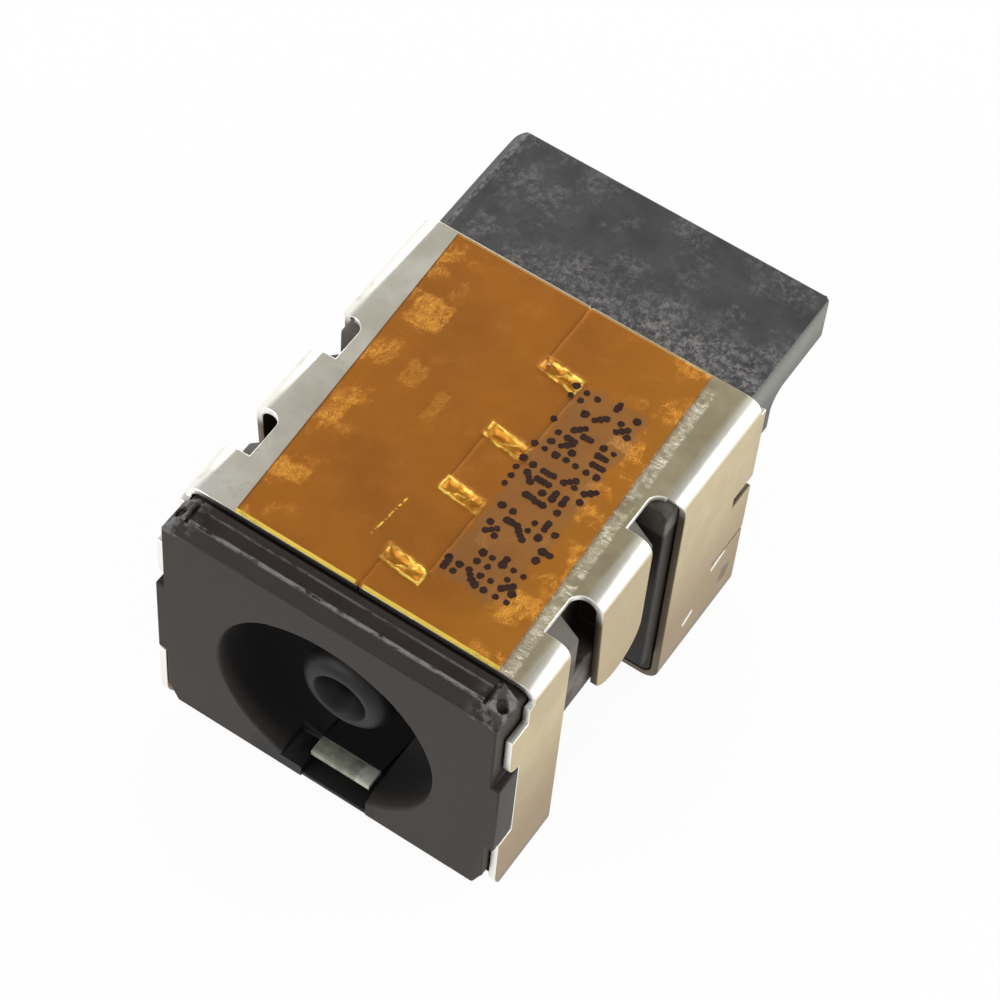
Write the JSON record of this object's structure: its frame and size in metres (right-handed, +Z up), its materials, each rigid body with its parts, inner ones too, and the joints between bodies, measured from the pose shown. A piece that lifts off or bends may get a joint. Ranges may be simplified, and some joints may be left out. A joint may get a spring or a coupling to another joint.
{
  "type": "dc barrel jack",
  "caption": "Small dc barrel jack: black housing in a folded shield shell with side fingers, centre post, spring contacts, tape on top and a roofed terminal block.",
  "frame": {"origin": "centre of the footprint, on the surface that the jack stands on", "axes": "X across the face, +Y from the face into the jack, Z up"},
  "size_m": [0.0094, 0.0142, 0.0082],
  "materials": {
    "black_plastic": "moulded black plastic, slightly greyed and scuffed",
    "dusty_plastic": "moulded black plastic with pale dust",
    "grey_plastic": "dark grey moulded plastic",
    "gold_plate": "plated copper alloy",
    "tin_plate": "plated spring strip, slightly dulled",
    "shell_plate": "plated sheet, satin, with a warm tint",
    "amber_film": "thin amber insulating film, creased over the seam"
  },
  "bodies": {
    "root": {"front_housing": "black_plastic", "terminal_block": "dusty_plastic", "centre_post": "grey_plastic", "signal_contact": "gold_plate", "inner_contact_left": "gold_plate", "inner_contact_right": "gold_plate", "ground_leaf_lower": "tin_plate", "ground_leaf_upper": "tin_plate", "shield_shell": "shell_plate", "tape": "amber_film"}
  },
  "joints": []
}
